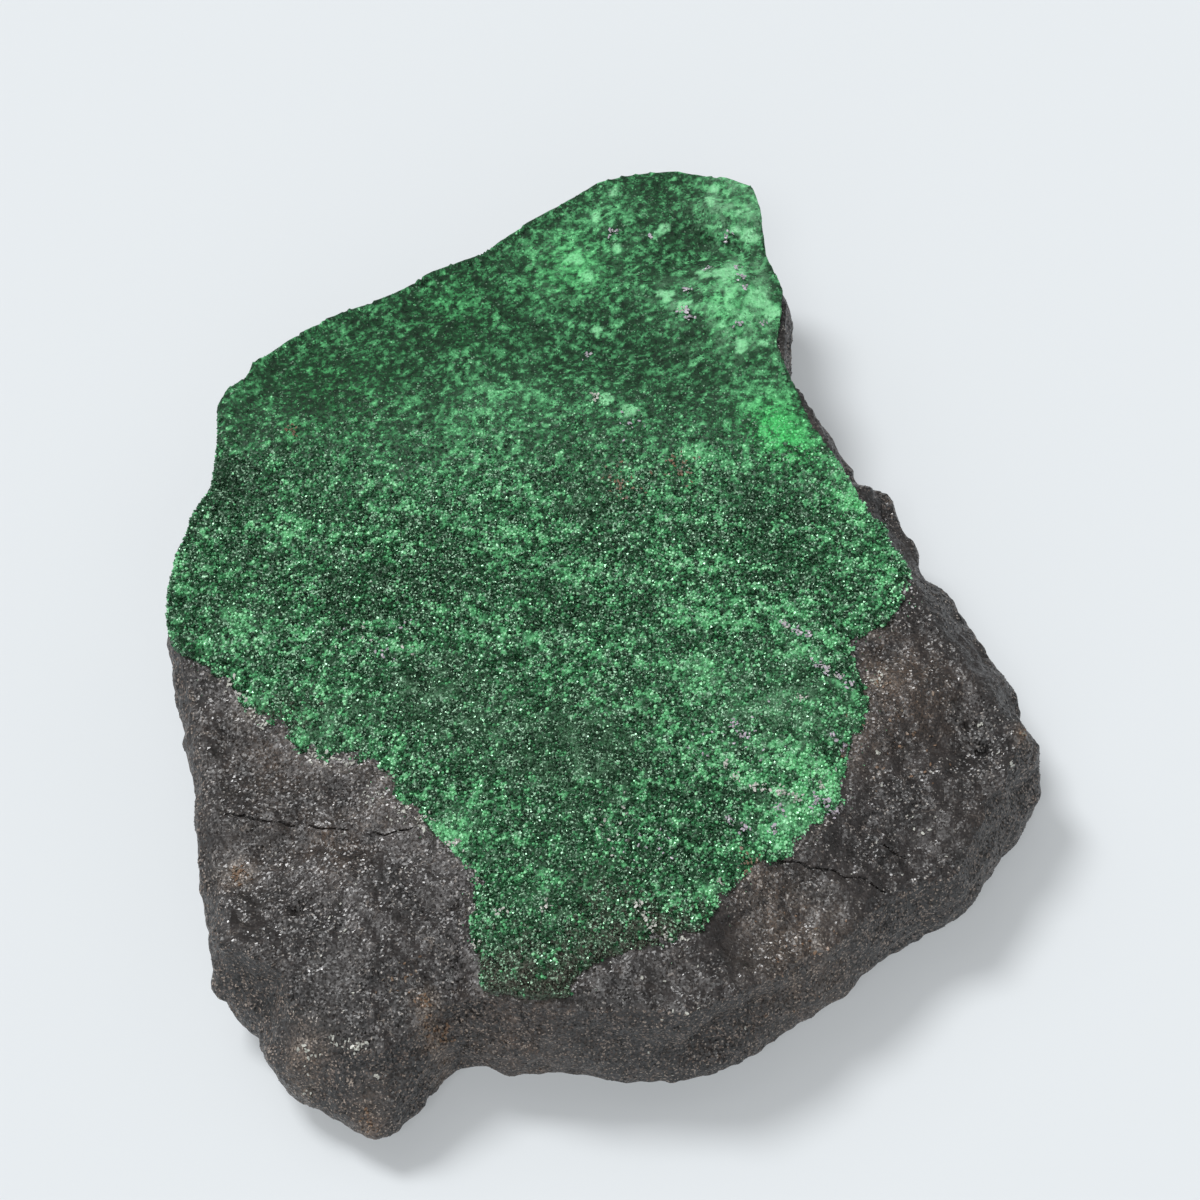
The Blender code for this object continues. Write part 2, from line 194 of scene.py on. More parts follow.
def stain_and_shade_rock(mesh, places):
    """Stores how warm, pale and dark the rock is at each corner; the darkness is partly painted shade."""
    to_crust = np.array([crust_tree.find_nearest(place)[3] for place in places.tolist()])
    dust = DUST * fade(to_crust, DUST_REACH, 0.2 * MM)
    for column, name in enumerate(("warm", "pale", "dark")):
        stain_and_shade = sum(patch[3 + column] * spot(places, *patch[:3]) for patch in STAINS_AND_SHADE)
        if name == "pale":
            stain_and_shade = stain_and_shade + dust * fade(waves(places, 2.2, 58), -0.05, 0.3)
        store(mesh, name, np.clip(stain_and_shade * (1.0 + 1.6 * waves(places, 0.8, 50 + column)), 0.0, 1.0))


def search_tree(node_name):
    """A CAD node's mesh, ready to be asked how near it is and what lies under it."""
    solid = bmesh.new()
    solid.from_mesh(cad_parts[node_name].data)
    tree = BVHTree.FromBMesh(solid)
    solid.free()
    return tree


rock = net_over("chromite_matrix", "chromite_rock", ROCK_NET)
crust_tree = search_tree("uvarovite_crust")
places, outward = corners(rock.data)
near_crack = np.min([away_from(places, line) for line in CRACKS], axis=0) < 0.6 * MM
refine(rock, near_crack & (outward[:, 2] > 0.4), 3)
places, outward = corners(rock.data)
calm = fade(places[:, 2], 0.05 * MM, CALM_ABOVE_FLOOR)
height = sum(rise * waves(places, size, index) for index, (size, rise) in enumerate(ROCK_LUMPS))
height += ROCK_GRAIN[1] * (cells(places, ROCK_GRAIN[0], 1) - 0.55)
side = 1.0 - fade(np.abs(outward[:, 2]), 0.45, 0.8)
height += side * (SIDE_GROWTH + SIDE_LUMPS[1] * waves(places, SIDE_LUMPS[0], 9))
height += side * pushed(places)
to_crust = np.array([crust_tree.find_nearest(place)[3] for place in places.tolist()])
beside = (1.0 - fade(to_crust, 1.2 * UNDER_CRUST, BESIDE_CRUST)) * fade(outward[:, 2], 0.3, 0.8)
height = MM * calm * (height - 0.7 * np.maximum(height, 0.0) * beside) + UNDER_CRUST * beside
crack = crack_at(places, outward)
height -= CRACK_DEPTH * crack
for x, y, radius in PITS:
    height -= PIT_DEPTH * spot(places, x, y, radius) * (outward[:, 2] > 0.3)
places += outward * height[:, None]
places[:, 2] = np.maximum(places[:, 2], 0.0)
rock.data.vertices.foreach_set("co", places.ravel())
rock.data.update()
store(rock.data, "crack", crack)
store(rock.data, "wall", side)
stain_and_shade_rock(rock.data, places)


def linear(code, alpha=1.0):
    """An sRGB colour written as hex, as the linear colour that Blender's shaders take."""
    parts = [int(code[place:place + 2], 16) / 255.0 for place in (1, 3, 5)]
    return tuple(part / 12.92 if part <= 0.04045 else ((part + 0.055) / 1.055) ** 2.4
                 for part in parts) + (alpha,)


def add(tree, kind, inputs=None, stops=None, **settings):
    """Adds a node with its settings; an input is given a value or another node's output."""
    node = tree.nodes.new("ShaderNode" + kind)
    for name, value in settings.items():
        setattr(node, name, value)
    for index, (position, code) in enumerate(stops or []):
        stop = node.color_ramp.elements[index] if index < 2 else node.color_ramp.elements.new(position)
        stop.position = position
        stop.color = linear(code)
    for socket, value in (inputs or {}).items():
        if isinstance(value, bpy.types.NodeSocket):
            tree.links.new(value, node.inputs[socket])
        else:
            node.inputs[socket].default_value = value
    return node


def new_material(name):
    """An empty material, its node tree and its output node."""
    material = bpy.data.materials.new(name)
    material.use_nodes = True
    material.node_tree.nodes.clear()
    return material, material.node_tree, material.node_tree.nodes.new("ShaderNodeOutputMaterial")


def tilted_cells(tree, colour, tilt):
    """A surface direction that leans its own way in every cell, as broken or grown faces do."""
    true_normal = add(tree, "NewGeometry").outputs["Normal"]
    way = add(tree, "VectorMath", {0: colour, 1: (0.5, 0.5, 0.5)}, operation="SUBTRACT")
    way = add(tree, "VectorMath", {0: way.outputs[0], "Scale": tilt}, operation="SCALE")
    way = add(tree, "VectorMath", {0: way.outputs[0], 1: true_normal}, operation="ADD")
    return add(tree, "VectorMath", {0: way.outputs[0]}, operation="NORMALIZE").outputs[0]


def chromite(name, colours):
    """Massive chromite, freshly broken: black-brown, granular, half metallic in its lustre.
    Sparkling patches, where whole grains broke, change with duller and browner ones; the broken
    sides sparkle throughout and are painted darker and warmer, partly as painted shade. Each grain has
    its own shade and slope; its brightest flecks are painted glints. Stains, partly painted shade,
    pale dust and cracks, painted near black as shade, are stored with the mesh."""
    material, tree, output = new_material(name)
    place = add(tree, "TexCoord").outputs["Object"]
    grain = add(tree, "TexVoronoi", {"Vector": place, "Scale": 1.0 / GRAIN_CELL})
    flecks = add(tree, "TexVoronoi", {"Vector": place, "Scale": 1.0 / FLECK_CELL})
    cloud = add(tree, "TexNoise", {"Vector": place, "Scale": 1.0 / (1.3 * MM), "Detail": 6.0,
                                   "Roughness": 0.7})
    broad = add(tree, "TexNoise", {"Vector": place, "Scale": 1.0 / (3.4 * MM), "Detail": 3.0})
    sparkling = add(tree, "MapRange", {"Value": broad.outputs["Fac"], "From Min": 0.42, "From Max": 0.58,
                                       "To Min": 0.3})
    wall = add(tree, "Attribute", attribute_name="wall")
    sparkling = add(tree, "Math", {0: sparkling.outputs[0], 1: wall.outputs["Fac"]}, operation="MAXIMUM")
    shade = add(tree, "SeparateColor", {"Color": grain.outputs["Color"]})
    fleck_shade = add(tree, "SeparateColor", {"Color": flecks.outputs["Color"]})
    mixed = add(tree, "Math", {0: shade.outputs["Red"], 1: 0.42, 2: -0.12}, operation="MULTIPLY_ADD")
    mixed = add(tree, "Math", {0: fleck_shade.outputs["Red"], 1: 0.35, 2: mixed.outputs[0]},
                operation="MULTIPLY_ADD")
    mixed = add(tree, "Math", {0: cloud.outputs["Fac"], 1: 0.5, 2: mixed.outputs[0]},
                operation="MULTIPLY_ADD")
    # Sides are made darker: painted shade.
    mixed = add(tree, "Math", {0: wall.outputs["Fac"], 1: -0.17, 2: mixed.outputs[0]},
                operation="MULTIPLY_ADD")
    uneven = add(tree, "Math", {0: shade.outputs["Red"], 1: 0.5}, operation="SUBTRACT")
    uneven = add(tree, "Math", {0: uneven.outputs[0], 1: wall.outputs["Fac"]}, operation="MULTIPLY")
    mixed = add(tree, "Math", {0: uneven.outputs[0], 1: 1.0, 2: mixed.outputs[0]}, operation="MULTIPLY_ADD")
    body = add(tree, "ValToRGB", {"Fac": mixed.outputs[0]}, stops=colours)
    dull = add(tree, "Math", {0: sparkling.outputs[0], 1: -0.6, 2: 0.6}, operation="MULTIPLY_ADD")
    body = add(tree, "Mix", {"Factor": dull.outputs[0], 6: body.outputs["Color"], 7: linear("#2b2524")},
               data_type="RGBA")
    warm = add(tree, "Attribute", attribute_name="warm")
    pale = add(tree, "Attribute", attribute_name="pale")
    dark = add(tree, "Attribute", attribute_name="dark")
    crack_depth = add(tree, "Attribute", attribute_name="crack")
    rusty = add(tree, "Math", {0: fleck_shade.outputs["Green"], 1: 1.5}, operation="POWER")
    rusty = add(tree, "Math", {0: rusty.outputs[0], 1: warm.outputs["Fac"]}, operation="MULTIPLY")
    body = add(tree, "Mix", {"Factor": rusty.outputs[0], 6: body.outputs[2], 7: linear("#5e4e41")},
               data_type="RGBA")
    dusty = add(tree, "Math", {0: fleck_shade.outputs["Blue"], 1: 2.5}, operation="POWER")
    dusty = add(tree, "Math", {0: dusty.outputs[0], 1: pale.outputs["Fac"]}, operation="MULTIPLY")
    body = add(tree, "Mix", {"Factor": dusty.outputs[0], 6: body.outputs[2], 7: linear("#a99f94")},
               data_type="RGBA")
    wisp = add(tree, "TexNoise", {"Vector": place, "Scale": 1.0 / (1.1 * MM), "Detail": 2.0})
    wisp = add(tree, "Math", {0: wisp.outputs["Fac"], 1: 0.5}, operation="SUBTRACT")
    wisp = add(tree, "Math", {0: wisp.outputs[0]}, operation="ABSOLUTE")
    wisp = add(tree, "MapRange", {"Value": wisp.outputs[0], "From Max": 0.012, "To Min": 0.6, "To Max": 0.0})
    thin = add(tree, "MapRange", {"Value": cloud.outputs["Fac"], "From Min": 0.5, "From Max": 0.62})
    wisp = add(tree, "Math", {0: wisp.outputs[0], 1: thin.outputs[0]}, operation="MULTIPLY")
    body = add(tree, "Mix", {"Factor": wisp.outputs[0], 6: body.outputs[2], 7: linear("#9b9086")},
               data_type="RGBA")
    # Near-white flecks, in the sparkling patches and more on the sides: painted glints.
    painted_speck_glint = add(tree, "Math", {0: wall.outputs["Fac"], 1: 0.04, 2: fleck_shade.outputs["Blue"]},
                operation="MULTIPLY_ADD")
    painted_speck_glint = add(tree, "MapRange", {"Value": painted_speck_glint.outputs[0], "From Min": 0.965, "From Max": 0.98,
                                   "To Max": 0.55})
    painted_speck_glint = add(tree, "Math", {0: painted_speck_glint.outputs[0], 1: sparkling.outputs[0]}, operation="MULTIPLY")
    body = add(tree, "Mix", {"Factor": painted_speck_glint.outputs[0], 6: body.outputs[2], 7: linear("#cfc8c0")},
               data_type="RGBA")
    # Dark stains darken the rock: partly its own darker patches, partly painted shade.
    stain_and_painted_shade = add(tree, "Math", {0: dark.outputs["Fac"], 1: 0.7}, operation="MULTIPLY")
    body = add(tree, "Mix", {"Factor": stain_and_painted_shade.outputs[0], 6: body.outputs[2], 7: linear("#100f0f")},
               data_type="RGBA")
    # Cracks are painted near black: painted shade in the crack.
    hollow = add(tree, "Math", {0: crack_depth.outputs["Fac"], 1: 0.85}, operation="MULTIPLY")
    body = add(tree, "Mix", {"Factor": hollow.outputs[0], 6: body.outputs[2], 7: linear("#060505")},
               data_type="RGBA")
    # Sides are multiplied by a pale warm tint: a warmer colour and painted shade.
    body = add(tree, "Mix", {"Factor": wall.outputs["Fac"], 6: body.outputs[2], 7: linear("#e6d9cf")},
               data_type="RGBA", blend_type="MULTIPLY")
    gloss = add(tree, "MapRange", {"Value": shade.outputs["Green"], "To Min": 0.27, "To Max": 0.65})
    slope = add(tree, "MapRange", {"Value": sparkling.outputs[0], "To Min": 0.35, "To Max": 1.05})
    surface = add(tree, "BsdfPrincipled", {
        "Base Color": body.outputs[2], "Roughness": gloss.outputs[0], "IOR": 1.7,
        "Normal": tilted_cells(tree, grain.outputs["Color"], slope.outputs[0])})
    tree.links.new(surface.outputs[0], output.inputs["Surface"])
    return material


rock_finish = chromite("broken_chromite", [
    (0.15, "#060505"), (1.0, "#7f7772"), (0.45, "#141211"), (0.66, "#272323"), (0.86, "#403a38")])
rock.data.materials.clear()
rock.data.materials.append(rock_finish)
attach(rock, "root")
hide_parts("chromite_matrix")

# The chromite grains: the octahedral crystals, 0.1 to 0.2 mm across, that the rock breaks between.
# They are bedded in its bare upper face and its broken sides, each turned its own way, so that
# single faces catch the light as in the real ore.

GRAIN_GAP = 0.25 * MM
GRAIN_SIZE = (0.04 * MM, 0.1 * MM)
GRAIN_KINDS = 20
GRAIN_TRIES = 300000       # places tried before they are spread out by their gaps
GRAIN_SUNK = 0.35          # of its size
LEAN = 0.25                # how far crystals stand off the upright


def unit(directions):
    """The same directions, one unit long."""
    return directions / np.linalg.norm(directions, axis=1)[:, None]


def sprinkle(mesh, count, draw):
    """Random places on a mesh, even over its area, with the outward direction at each."""
    mesh.calc_loop_triangles()
    spots, outward = corners(mesh)
    sides = np.empty(len(mesh.loop_triangles) * 3, dtype=np.int32)
    areas = np.empty(len(mesh.loop_triangles), dtype=np.float32)
    mesh.loop_triangles.foreach_get("vertices", sides)
    mesh.loop_triangles.foreach_get("area", areas)
    sides = sides.reshape(-1, 3)
    picked = sides[draw.choice(len(areas), count, p=areas / areas.sum(dtype=float))]
    first, second = np.sqrt(draw.random(count)), draw.random(count)
    weights = np.column_stack([1.0 - first, first * (1.0 - second), first * second])
    mixed = (outward[picked] * weights[:, :, None]).sum(axis=1)
    return (spots[picked] * weights[:, :, None]).sum(axis=1), unit(mixed)


def spread_out(places, gaps):
    """Keeps places in their given order, none nearer than its gap to one kept before."""
    tree = kdtree.KDTree(len(places))
    for index, place in enumerate(places):
        tree.insert(place, index)
    tree.balance()
    free = np.ones(len(places), dtype=bool)
    kept = []
    for index, place in enumerate(places):
        if free[index]:
            kept.append(index)
            for _, near, _ in tree.find_range(place, gaps[index]):
                free[near] = False
    return np.array(kept)


def shape_of(solid):
    """A small solid's corners and triangles as arrays; the solid is freed."""
    bmesh.ops.triangulate(solid, faces=solid.faces)
    bmesh.ops.recalc_face_normals(solid, faces=solid.faces)
    solid.verts.index_update()
    points = np.array([vert.co for vert in solid.verts])
    sides = np.array([[vert.index for vert in face.verts] for face in solid.faces])
    solid.free()
    return points, sides


def plant(name, shapes, places, outward, sizes, draw):
    """One mesh of many small solids: each stands on its place along the outward direction, with
    its own turn. Gives the piece and, for each of its corners, the number of its solid."""
    turns = draw.random(len(places)) * 2.0 * math.pi
    kinds = draw.integers(len(shapes), size=len(places))
    aside = np.where(np.abs(outward[:, 2:]) < 0.9, (0.0, 0.0, 1.0), (1.0, 0.0, 0.0))
    side = unit(np.cross(outward, aside))
    across = np.cross(outward, side)
    ahead = side * np.cos(turns)[:, None] + across * np.sin(turns)[:, None]
    axes = np.stack([ahead, np.cross(outward, ahead), outward], axis=1)
    points, faces, owners, total = [], [], [], 0
    for kind, (shape, sides) in enumerate(shapes):
        own = np.flatnonzero(kinds == kind)
        placed = np.einsum("pa,nab->npb", shape, axes[own]) * sizes[own][:, None, None]
        points.append((placed + places[own][:, None, :]).reshape(-1, 3))
        starts = total + np.arange(len(own)) * len(shape)
        faces.append((sides[None] + starts[:, None, None]).reshape(-1, 3))
        owners.append(np.repeat(own, len(shape)))
        total += len(own) * len(shape)
    mesh = bpy.data.meshes.new(name)
    mesh.from_pydata(np.concatenate(points).tolist(), [], np.concatenate(faces).tolist())
    piece = bpy.data.objects.new(name, mesh)
    bpy.context.scene.collection.objects.link(piece)
    return piece, np.concatenate(owners)


def octahedron(draw):
    """A chromite octahedron, a little uneven, turned at random."""
    solid = bmesh.new()
    for axis in range(3):
        for way in (-1.0, 1.0):
            point = Vector((0.0, 0.0, 0.0))
            point[axis] = way * draw.uniform(0.8, 1.2)
            solid.verts.new(point)
    bmesh.ops.convex_hull(solid, input=solid.verts)
    turn = Matrix.Rotation(draw.uniform(0.0, math.pi), 3, Vector(draw.normal(size=3)).normalized())
    bmesh.ops.rotate(solid, verts=solid.verts, cent=(0.0, 0.0, 0.0), matrix=turn)
    return shape_of(solid)


draw = np.random.default_rng(7)
places, outward = sprinkle(rock.data, GRAIN_TRIES, draw)
covered = np.array([crust_tree.ray_cast(place, (0.0, 0.0, 1.0))[0] is not None for place in places.tolist()])
bare = ~covered & (places[:, 2] > 0.5 * MM) & (outward[:, 2] > -0.55) & (crack_at(places, outward) < 0.05)
open_ground = (places[bare], outward[bare])
grainy = waves(open_ground[0], 2.4, 61) + 0.4 * waves(open_ground[0], 0.9, 62) > -0.12
places, outward = open_ground[0][grainy], open_ground[1][grainy]
kept = spread_out(places, np.full(len(places), GRAIN_GAP))
places, outward = places[kept], outward[kept]
sizes = draw.uniform(*GRAIN_SIZE, len(places))
shapes = [octahedron(draw) for _ in range(GRAIN_KINDS)]
lean = unit(outward + LEAN * draw.normal(size=outward.shape))
sunk = places - outward * (GRAIN_SUNK * sizes)[:, None]
halves = np.arange(len(places)) % 2
for half, name in enumerate(("chromite_grains_a", "chromite_grains_b")):
    own = halves == half
    grains, owners = plant(name, shapes, sunk[own], lean[own], sizes[own], draw)
    stain_and_shade_rock(grains.data, places[own][owners])
    store(grains.data, "crack", crack_at(places[own], outward[own])[owners])
    store(grains.data, "wall", (1.0 - fade(np.abs(outward[own, 2]), 0.45, 0.8))[owners])
    grains.data.materials.append(rock_finish)
    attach(grains, "root")
    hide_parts("chromite_matrix")

# The druse base: the crust of fine uvarovite that coats a joint face of the chromite.
# It is the fine-grained floor between the crystals, a little below their tips; its darker colours are partly
# painted shade in the gaps. Where the crust gives out on bare rock it thins to nothing along a ragged line.

BASE_NET = 0.25 * MM
BASE_SUNK = 0.16 * MM
BASE_ROOT = 0.35 * MM
CRUST_TRIES = 620000
CRYSTAL_CELL = 0.15 * MM   # the finest crystals and their facets, drawn by the material
FACET_CELL = 0.11 * MM
RELIEF = [   # x, y and radius of swells and hollows, and how high they rise, all in mm
    (4.7, 33.5, 1.5, -0.25), (6.3, 31.5, 1.2, -0.35), (7.6, 30.0, 0.9, -0.35), (9.6, 29.2, 0.8, -0.30),
    (11.4, 27.3, 0.8, -0.35), (9.8, 24.6, 3.0, 0.22), (9.3, 32.2, 1.6, 0.18),
]
FREE_EDGE = (-0.5, 0.9)     # mm from bare rock over which the crust rises to its full height
EDGE_DROP = 0.62 * MM
RIM_GROWTH = 0.2           # mm that the smoothing takes off the crust's rim, put back
STREAK_TURN = math.radians(-9.0)
PATCHES = [   # x, y, radius in mm, how much brighter, how milky
    (-2.0, 27.5, 3.0, 0.42, 0.12), (12.1, 13.9, 2.4, 0.43, 0.00), (11.1, 16.8, 2.2, 0.16, 0.05),
    (13.1, 12.0, 1.6, 0.19, 0.00), (-9.3, -19.1, 1.3, 0.55, 0.45), (7.1, -23.3, 0.7, 0.50, 0.40),
    (17.0, 7.5, 2.0, 0.31, 0.10), (-24.0, -2.6, 1.6, 0.02, 0.15), (9.6, 23.6, 3.4, 0.26, 0.36),
    (9.8, 33.2, 2.4, 0.38, 0.45), (5.0, 24.5, 1.6, 0.10, 0.20), (9.8, 27.0, 1.4, 0.38, 0.50),
    (11.6, -2.2, 0.8, 0.04, 0.00), (13.5, -4.6, 1.6, 0.26, 0.05), (15.9, -4.3, 1.0, 0.20, 0.00),
    (6.7, -1.7, 2.2, 0.14, 0.00), (6.9, -7.2, 1.6, 0.24, 0.20), (11.0, -18.4, 1.6, 0.19, 0.08),
    (12.9, -17.4, 1.6, 0.46, 0.30), (15.0, -15.0, 1.3, 0.46, 0.20), (9.0, -17.6, 1.0, 0.10, 0.05),
    (16.6, -9.6, 1.4, 0.16, 0.05), (12.0, -10.0, 4.0, 0.00, 0.20), (-17.0, -10.5, 2.2, -0.08, 0.15),
    (-7.0, 16.5, 3.0, 0.30, 0.06), (-9.0, 11.0, 3.0, 0.10, 0.00),
    (18.5, 1.5, 2.2, 0.20, 0.00), (-4.0, -4.0, 3.0, 0.04, 0.00), (-22.2, -8.6, 0.9, 0.12, 0.10),
    (-14.5, -13.0, 0.9, 0.07, 0.00), (-7.6, -27.0, 0.9, 0.02, 0.00), (-19.5, -9.0, 1.6, -0.10, 0.00),
    # The entries from 2.9, 35.0 to 11.5, 27.2 mostly darken the trough that RELIEF sinks: painted shade in
    # that hollow.
    (2.9, 35.0, 1.6, -0.10, 0.00), (4.7, 33.5, 1.6, -0.10, 0.00), (6.1, 31.6, 1.3, -0.10, 0.00),
    (7.3, 30.2, 1.0, -0.20, 0.00), (9.6, 29.2, 0.9, 0.05, 0.00), (11.5, 27.2, 0.9, -0.34, 0.00),
    (-12.0, 19.0, 3.2, -0.02, 0.00), (-5.0, 19.2, 3.0, -0.02, 0.00), (1.4, 19.4, 2.2, -0.08, 0.00),
    (4.2, 18.8, 2.4, -0.08, 0.00), (0.1, 17.5, 1.5, 0.18, 0.00), (-19.0, 17.0, 3.0, -0.20, 0.00),
    (-25.0, 9.0, 2.6, -0.40, 0.00), (11.2, 6.6, 2.6, -0.20, 0.00), (-12.0, 1.4, 2.6, -0.20, 0.00),
    (-17.5, -1.0, 2.4, -0.24, 0.00), (-11.0, -8.2, 2.6, -0.38, 0.15), (-1.1, -13.6, 4.0, -0.44, 0.15),
    (-8.0, -11.0, 3.0, -0.26, 0.10), (-0.5, 7.0, 2.0, -0.22, 0.10), (15.7, -1.8, 1.6, -0.20, 0.00),
    (-2.0, -24.0, 3.0, -0.14, 0.10), (-5.0, -29.0, 2.6, -0.25, 0.00), (1.0, -27.0, 2.4, -0.20, 0.00),
    (1.0, 31.5, 3.0, 0.19, 0.05), (-2.2, -31.3, 0.5, 0.60, 0.20),
]
BLOTCHES = [   # x, y and radius in mm of the pale clumps
    (8.0, 34.5, 0.35), (7.9, 33.2, 0.50), (9.9, 32.4, 0.40), (-0.3, 32.2, 0.40), (1.0, 34.4, 0.35),
    (4.5, 31.2, 0.45), (4.0, 30.3, 0.30), (1.3, 29.4, 0.30), (-1.8, 28.2, 0.60), (-0.8, 26.7, 0.50),
    (9.6, 31.0, 0.35), (10.7, 30.3, 0.60), (7.4, 26.8, 0.60), (8.8, 26.5, 0.80), (9.3, 24.4, 0.60),
    (4.7, 24.8, 0.50), (6.0, 23.9, 0.40), (9.9, 20.2, 0.50), (8.5, 21.9, 0.35), (-0.2, 22.0, 0.35),
    (0.4, 15.8, 0.40), (2.0, 14.8, 0.50), (11.5, 20.6, 0.35), (11.1, 24.2, 0.80), (12.1, 23.3, 0.60),
    (10.2, 22.8, 0.50), (8.8, -15.1, 0.30), (11.6, -16.1, 0.45), (12.6, -16.5, 0.40), (7.1, -23.3, 0.35),
]
BARREN = [   # x, y, radius in mm, and the share of the crust that is dark chromite there
    (-6.0, -30.8, 1.8, 1.3), (-2.0, -30.2, 2.2, 1.1), (1.3, -28.2, 2.6, 1.1), (4.0, -27.0, 1.8, 0.9),
    (6.2, -25.6, 1.2, 0.5), (0.5, -24.0, 2.0, 0.25), (-7.0, -27.6, 1.4, 0.4), (-20.5, -9.8, 1.4, 0.3),
    (-5.4, -28.8, 2.2, 0.4), (-8.6, -29.4, 1.0, 0.6),
]
LUSH = [     # x, y, radius in mm, and how deep and pure the green is there
    (12.1, 13.9, 2.4, 0.9), (13.6, 11.6, 1.8, 0.5), (17.0, 7.5, 2.0, 0.25), (-2.0, 27.5, 3.0, 0.4),
    (9.6, 23.6, 3.0, 0.25), (-19.0, 17.0, 4.0, 0.4), (-10.0, 24.0, 4.0, 0.3), (14.0, -15.0, 1.6, 0.25),
]
TRIMS = [    # x, y, radius and how much further the crust stops short of the bare rock, all in mm
    (14.2, -19.1, 2.2, 1.3), (16.4, -16.8, 1.6, 0.7), (-13.9, -14.6, 1.8, 0.9), (-17.0, -12.6, 2.0, 0.7),
    (-21.5, -9.6, 2.6, 0.7), (-26.0, -5.8, 2.4, 0.5), (4.8, -27.2, 2.0, 1.0), (0.8, -29.8, 2.2, 2.4),
    (19.5, -4.5, 1.4, 0.6), (9.5, -21.8, 1.8, 0.8), (-4.6, -31.4, 2.2, 3.0),
]


def growth(places):
    """How bright and how milky the uvarovite is at each place, and the share of its finest cells
    painted as glints: streaks along the joint face, vivid clumps of a few crystals on a dark
    ground, and the broad patches that give this specimen its face."""
    across = Matrix.Rotation(STREAK_TURN, 3, "Z")
    streaked = places @ np.array(across) / np.array([6.5, 0.9, 3.0])
    richer, milky = 0.0, 0.0
    for x, y, radius, brighter, milkier in PATCHES:
        here = spot(places, x, y, radius)
        richer += brighter * here
        milky += milkier * here
    milky *= 0.3 + 1.5 * fade(waves(places, 1.0, 7), -0.1, 0.25)
    skin = 1.0 - free_growth(places)
    clumps = 0.3 * waves(streaked, 1.0, 14) + 0.15 * waves(streaked * np.array([3.0, 0.9, 1.0]), 1.0, 3)
    clumps = clumps * (1.0 - 0.7 * skin) + 0.42 * waves(places, 0.7, 5) + 0.55 * waves(places, 0.36, 15)
    vivid = fade(clumps + 0.7 * richer, 0.07 - 0.09 * skin, 0.2 + 0.16 * skin)
    bright = 0.3 + 0.07 * skin + (0.43 - 0.2 * skin) * vivid + 0.3 * richer + 0.06 * waves(places, 2.6, 4)
    bright += (0.2 + 0.25 * skin) * waves(places, 0.3, 6) + 0.35 * skin * waves(places, 0.55, 16)
    ragged = places + 0.5 * MM * np.column_stack([waves(places, 0.5, 31), waves(places, 0.5, 32),
                                                  np.zeros(len(places))])
    for x, y, radius in BLOTCHES:
        here = fade(spot(ragged, x, y, radius), 0.3, 0.5)
        bright += 0.45 * here
        milky += 0.8 * here
    # The share of the finest cells painted as glints, higher where the crystals stand free.
    painted_glint_field = 0.09 * free_growth(places) * (0.5 + 1.2 * fade(waves(places, 1.4, 21), -0.2, 0.25))
    return np.clip(bright, 0.0, 1.0), np.clip(milky, 0.0, 1.0), painted_glint_field


def free_growth(places):
    """How freely the crystals stand at each place: less towards the far end, where a milky skin
    has grown over them."""
    return 1.0 - 0.75 * fade(places[:, 1] + 3.0 * MM * waves(places, 3.0, 36), 4.0 * MM, 20.0 * MM)


def barren(places):
    """The share of dark chromite among the garnets at each place."""
    share = sum(part * spot(places, x, y, radius) for x, y, radius, part in BARREN)
    return np.clip(share * (1.0 + 1.6 * waves(places, 0.9, 35)), 0.0, 1.0)


def lush(places):
    """How deep and pure the green is at each place."""
    return np.clip(sum(share * spot(places, x, y, radius) for x, y, radius, share in LUSH), 0.0, 1.0)


def edge_drop(places, tree):
    """How far the crust is let down at each place, so that it runs out raggedly on bare rock."""
    flat = places * np.array([1.0, 1.0, 0.0])
    clear = np.array([tree.find(place)[2] for place in flat.tolist()]) / MM
    clear += 0.9 * waves(places, 1.6, 11) + 0.8 * waves(places, 0.6, 12) + 0.15
    clear -= sum(trim * spot(places, x, y, radius) for x, y, radius, trim in TRIMS)
    return EDGE_DROP * (1.0 - fade(clear, *FREE_EDGE))


bare_places, bare_outward = corners(rock.data)
beside_wall = kdtree.KDTree(len(bare_places))
for index in np.flatnonzero(np.abs(bare_outward[:, 2]) < 0.35):
    beside_wall.insert(bare_places[index], index)
beside_wall.balance()
bare_ground = kdtree.KDTree(len(bare_places))
for index in np.flatnonzero((bare_places[:, 2] > 8.0 * MM) & (bare_outward[:, 2] > 0.7)):
    place = Vector(bare_places[index])
    if crust_tree.ray_cast(place - Vector((0.0, 0.0, MM)), (0.0, 0.0, 1.0))[0] is None:
        if beside_wall.find(place)[2] > 1.4 * MM:
            bare_ground.insert((place.x, place.y, 0.0), index)
bare_ground.balance()

base = net_over("uvarovite_crust", "druse_base", BASE_NET)
refine(base, np.zeros(len(base.data.vertices), dtype=bool), 1)
places, outward = corners(base.data)
rim = 1.0 - fade(np.abs(outward[:, 2]), 0.45, 0.85)
places += outward * (MM * rim * (RIM_GROWTH + pushed(places)))[:, None]
places[:, 2] += MM * sum(rise * spot(places, x, y, radius) for x, y, radius, rise in RELIEF)
base.data.vertices.foreach_set("co", places.ravel())
base.data.update()
crust_places, crust_outward = sprinkle(base.data, CRUST_TRIES, draw)
places, outward = corners(base.data)
downward = fade(-outward[:, 2], 0.2, 0.7)
bright, milky, painted_glint_field = growth(places)
sunk = BASE_SUNK * free_growth(places) * (1.0 + 0.9 * waves(places, 0.6, 8)) * (1.0 - downward)
drop = edge_drop(places, bare_ground)
places -= outward * sunk[:, None]
places[:, 2] -= drop + BASE_ROOT * downward
base.data.vertices.foreach_set("co", places.ravel())
base.data.update()
for name, values in (("bright", bright), ("milky", milky), ("painted_glint_share", painted_glint_field), ("barren", barren(places)),
                     ("lush", lush(places)), ("skin", 1.0 - free_growth(places))):
    store(base.data, name, values)


